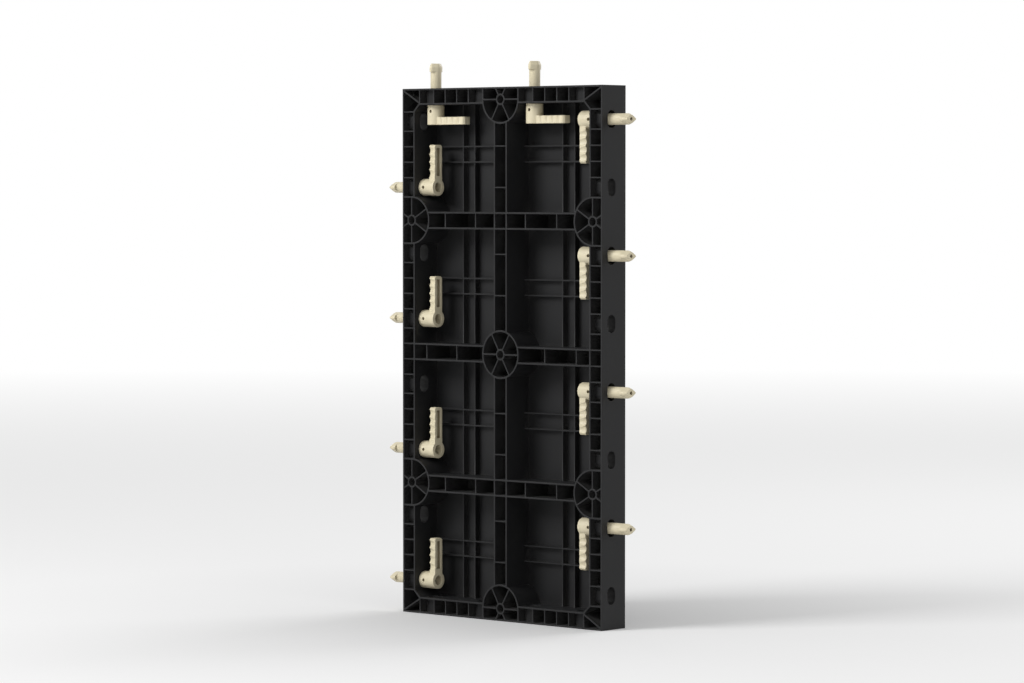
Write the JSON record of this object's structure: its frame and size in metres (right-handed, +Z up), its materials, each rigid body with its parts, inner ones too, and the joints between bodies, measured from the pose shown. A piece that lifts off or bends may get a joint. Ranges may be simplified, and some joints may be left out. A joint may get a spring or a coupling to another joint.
{
  "type": "plastic formwork panel",
  "caption": "Ribbed plastic wall formwork panel with a flat concrete face, spoked tie-rod bosses and quarter-turn lock handles in its edges.",
  "frame": {"origin": "middle of the bottom edge, half way through the depth", "axes": "+Z up the panel, +X along its width, +Y out of the flat concrete face; the ribs open to -Y"},
  "size_m": [0.714, 0.08, 1.257],
  "materials": {
    "panel_plastic": "satin black glass-filled ABS",
    "handle_plastic": "satin cream nylon"
  },
  "bodies": {
    "panel": {"moulded_panel": "panel_plastic"},
    "handle_left_1": {"lock_handle_left_1": "handle_plastic"},
    "handle_left_2": {"lock_handle_left_2": "handle_plastic"},
    "handle_left_3": {"lock_handle_left_3": "handle_plastic"},
    "handle_left_4": {"lock_handle_left_4": "handle_plastic"},
    "handle_top_1": {"lock_handle_top_1": "handle_plastic"},
    "handle_top_2": {"lock_handle_top_2": "handle_plastic"},
    "handle_right_1": {"lock_handle_right_1": "handle_plastic"},
    "handle_right_2": {"lock_handle_right_2": "handle_plastic"},
    "handle_right_3": {"lock_handle_right_3": "handle_plastic"},
    "handle_right_4": {"lock_handle_right_4": "handle_plastic"}
  },
  "joints": [
    {"name": "handle_left_1_turn", "type": "hinge", "parent": "panel", "child": "handle_left_1", "pos_m": [-0.3, -0.008, 0.075], "axis": [1, 0, 0], "range_deg": [0, 90]},
    {"name": "handle_left_2_turn", "type": "hinge", "parent": "panel", "child": "handle_left_2", "pos_m": [-0.3, -0.008, 0.375], "axis": [1, 0, 0], "range_deg": [0, 90]},
    {"name": "handle_left_3_turn", "type": "hinge", "parent": "panel", "child": "handle_left_3", "pos_m": [-0.3, -0.008, 0.675], "axis": [1, 0, 0], "range_deg": [0, 90]},
    {"name": "handle_left_4_turn", "type": "hinge", "parent": "panel", "child": "handle_left_4", "pos_m": [-0.3, -0.008, 0.975], "axis": [1, 0, 0], "range_deg": [0, 90]},
    {"name": "handle_top_1_turn", "type": "hinge", "parent": "panel", "child": "handle_top_1", "pos_m": [-0.225, -0.008, 1.2], "axis": [0, 0, -1], "range_deg": [0, 90]},
    {"name": "handle_top_2_turn", "type": "hinge", "parent": "panel", "child": "handle_top_2", "pos_m": [0.075, -0.008, 1.2], "axis": [0, 0, -1], "range_deg": [0, 90]},
    {"name": "handle_right_1_turn", "type": "hinge", "parent": "panel", "child": "handle_right_1", "pos_m": [0.3, -0.008, 0.225], "axis": [-1, 0, 0], "range_deg": [0, 90]},
    {"name": "handle_right_2_turn", "type": "hinge", "parent": "panel", "child": "handle_right_2", "pos_m": [0.3, -0.008, 0.525], "axis": [-1, 0, 0], "range_deg": [0, 90]},
    {"name": "handle_right_3_turn", "type": "hinge", "parent": "panel", "child": "handle_right_3", "pos_m": [0.3, -0.008, 0.825], "axis": [-1, 0, 0], "range_deg": [0, 90]},
    {"name": "handle_right_4_turn", "type": "hinge", "parent": "panel", "child": "handle_right_4", "pos_m": [0.3, -0.008, 1.125], "axis": [-1, 0, 0], "range_deg": [0, 90]}
  ]
}
